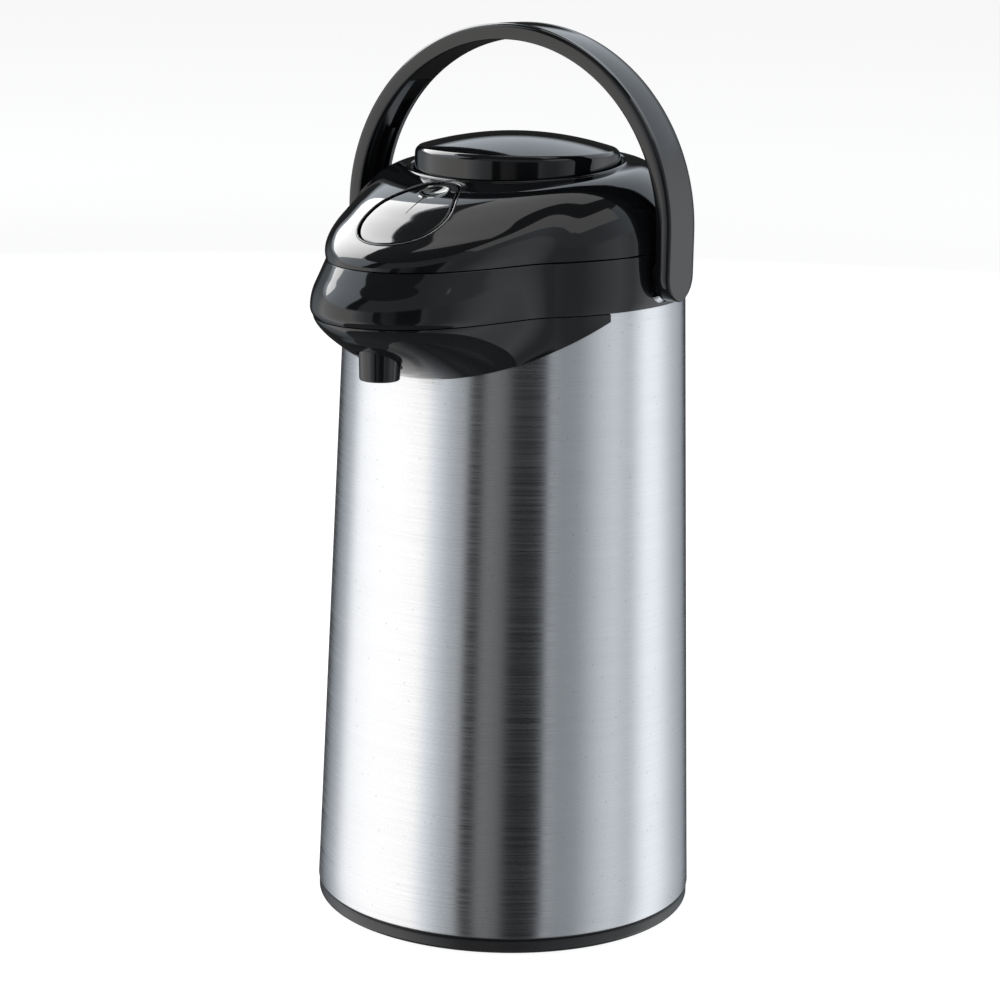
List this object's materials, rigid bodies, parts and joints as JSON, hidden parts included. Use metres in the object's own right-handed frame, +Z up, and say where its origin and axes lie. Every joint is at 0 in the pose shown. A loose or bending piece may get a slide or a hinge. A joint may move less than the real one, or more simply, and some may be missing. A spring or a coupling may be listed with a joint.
{
  "type": "thermal coffee airpot",
  "caption": "Tall tapered vacuum jug with a steel shell, black head with spout beak, push button pump, release lever and a swinging bail handle.",
  "frame": {"origin": "under the middle of the pot's bounding box, on the surface it stands on; the body's axis is 19.15 mm behind it, at y = 0.01915", "axes": "+Z up along the body's axis; the spout points along -Y; +X is to the right seen from the spout side"},
  "size_m": [0.17, 0.2088, 0.395],
  "materials": {
    "brushed_steel": "brushed round the body",
    "pin_steel": "plain bright",
    "gloss_black": "high gloss moulded",
    "base_black": "satin moulded",
    "inner_plastic": "natural moulded",
    "tube_plastic": "natural moulded",
    "rubber": "food grade silicone",
    "silvered_glass": "silvered glass"
  },
  "bodies": {
    "pot": {"outer_shell": "brushed_steel", "base_ring": "base_black", "base_cover": "base_black", "liner_adjuster": "base_black", "base_screw_1": "pin_steel", "base_screw_2": "pin_steel", "base_screw_3": "pin_steel", "liner_cushion": "rubber", "glass_liner": "silvered_glass", "liner_seal_tip": "silvered_glass", "neck_gasket": "rubber", "collar": "gloss_black", "beak_underside": "gloss_black", "spout_nozzle": "gloss_black", "delivery_elbow": "tube_plastic", "tube_seal": "rubber", "valve_cage": "tube_plastic", "dip_tube": "tube_plastic", "hinge_pin": "pin_steel", "pivot_pin_left": "pin_steel", "pivot_pin_right": "pin_steel"},
    "lid": {"lid_cover": "gloss_black", "lid_base": "inner_plastic", "lid_gasket": "rubber", "outlet_valve_flap": "rubber", "lid_screw_1": "pin_steel", "lid_screw_2": "pin_steel", "lid_screw_3": "pin_steel", "lid_screw_4": "pin_steel", "lever_pin": "pin_steel", "lever_spring": "pin_steel", "bellows": "rubber", "button_spring": "pin_steel"},
    "button": {"push_button": "gloss_black", "bellows_plate": "inner_plastic", "intake_valve_flap": "rubber", "plate_screw_1": "pin_steel", "plate_screw_2": "pin_steel", "plate_screw_3": "pin_steel"},
    "lever": {"release_lever": "gloss_black"},
    "handle": {"handle": "gloss_black"},
    "ball": {"spill_ball": "pin_steel"}
  },
  "joints": [
    {"name": "lid_open", "type": "hinge", "parent": "pot", "child": "lid", "pos_m": [0, 0.10035, 0.301], "axis": [-1, 0, 0], "range_deg": [0, 12]},
    {"name": "button_press", "type": "slide", "parent": "lid", "child": "button", "axis": [0, 0, -1], "range_m": [0, 0.018], "stiffness_N_per_m": 350, "springref_m": -0.002, "deforming": ["bellows", "button_spring"]},
    {"name": "lever_press", "type": "hinge", "parent": "lid", "child": "lever", "pos_m": [0, -0.05885, 0.31571], "axis": [-1, 0, 0], "range_deg": [0, 3.3], "stiffness_Nm_per_rad": 1.2, "springref_deg": -2.86, "deforming": ["lever_spring"]},
    {"name": "handle_swing", "type": "hinge", "parent": "pot", "child": "handle", "pos_m": [0, 0.01915, 0.2925], "axis": [1, 0, 0], "range_deg": [-90, 30]},
    {"name": "spill_ball_lift", "type": "slide", "parent": "pot", "child": "ball", "axis": [0, 0, 1], "range_m": [0, 0.002]}
  ]
}
